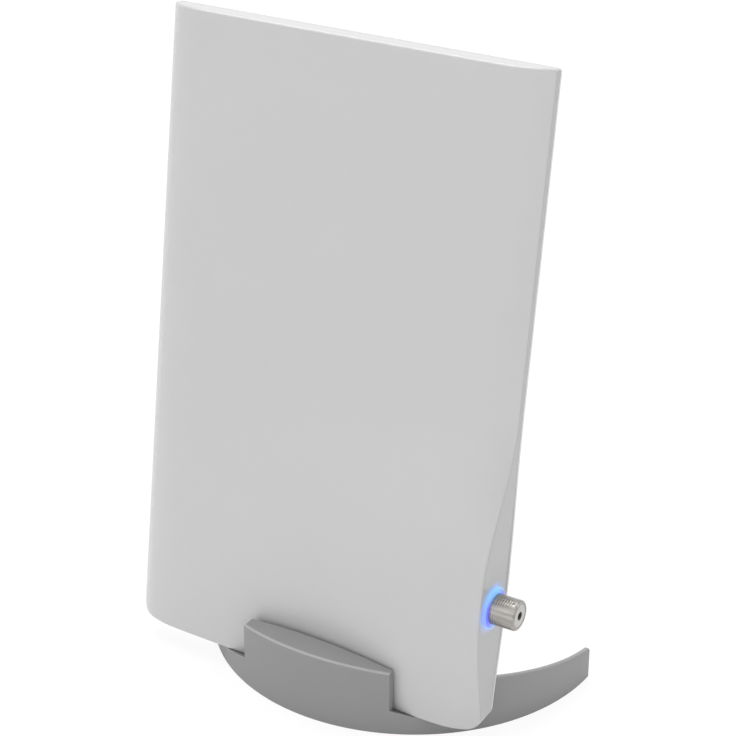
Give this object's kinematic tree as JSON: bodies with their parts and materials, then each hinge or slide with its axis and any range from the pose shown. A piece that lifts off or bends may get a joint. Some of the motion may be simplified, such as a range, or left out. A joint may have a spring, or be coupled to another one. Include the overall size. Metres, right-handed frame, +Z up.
{
  "type": "indoor tv antenna",
  "caption": "Flat white indoor antenna panel leaning in a curved grey stand, with a threaded aerial socket and a lit ring on one side.",
  "frame": {"origin": "middle of the whole antenna's box, on the surface it stands on", "axes": "+X to the socket's side, +Y from the front to the back, +Z up"},
  "size_m": [0.1396, 0.0648, 0.2054],
  "materials": {
    "white_plastic": "gloss, moulded",
    "grey_plastic": "satin, moulded",
    "ring_plastic": "clear, lit blue from behind",
    "nickel": "nickel plated, satin",
    "insulator_plastic": "plain",
    "contact_brass": "plain",
    "board_laminate": "solder mask",
    "copper": "etched foil",
    "tinned_sheet": "tinned",
    "screw_steel": "zinc plated",
    "chip_resin": "moulded",
    "chip_ceramic": "fired",
    "coil_enamel": "enamelled wire",
    "lamp_resin": "clear",
    "lead_jacket": "matt"
  },
  "bodies": {
    "root": {"stand": "grey_plastic", "front_shell": "white_plastic", "rear_cover": "white_plastic", "cover_screws": "screw_steel", "antenna_board": "board_laminate", "left_element": "copper", "right_element": "copper", "feed_track": "copper", "balun": "chip_resin", "jumper_cable": "lead_jacket", "amplifier_board": "board_laminate", "board_screws": "screw_steel", "shield_frame": "tinned_sheet", "shield_lid": "tinned_sheet", "amplifier_chip": "chip_resin", "filter_chip": "chip_ceramic", "regulator_chip": "chip_resin", "capacitors": "chip_ceramic", "choke_coil": "coil_enamel", "status_led": "lamp_resin", "light_ring": "ring_plastic", "socket_body": "nickel", "socket_insulator": "insulator_plastic", "socket_contact": "contact_brass", "socket_washer": "nickel", "socket_nut": "nickel"}
  },
  "joints": []
}
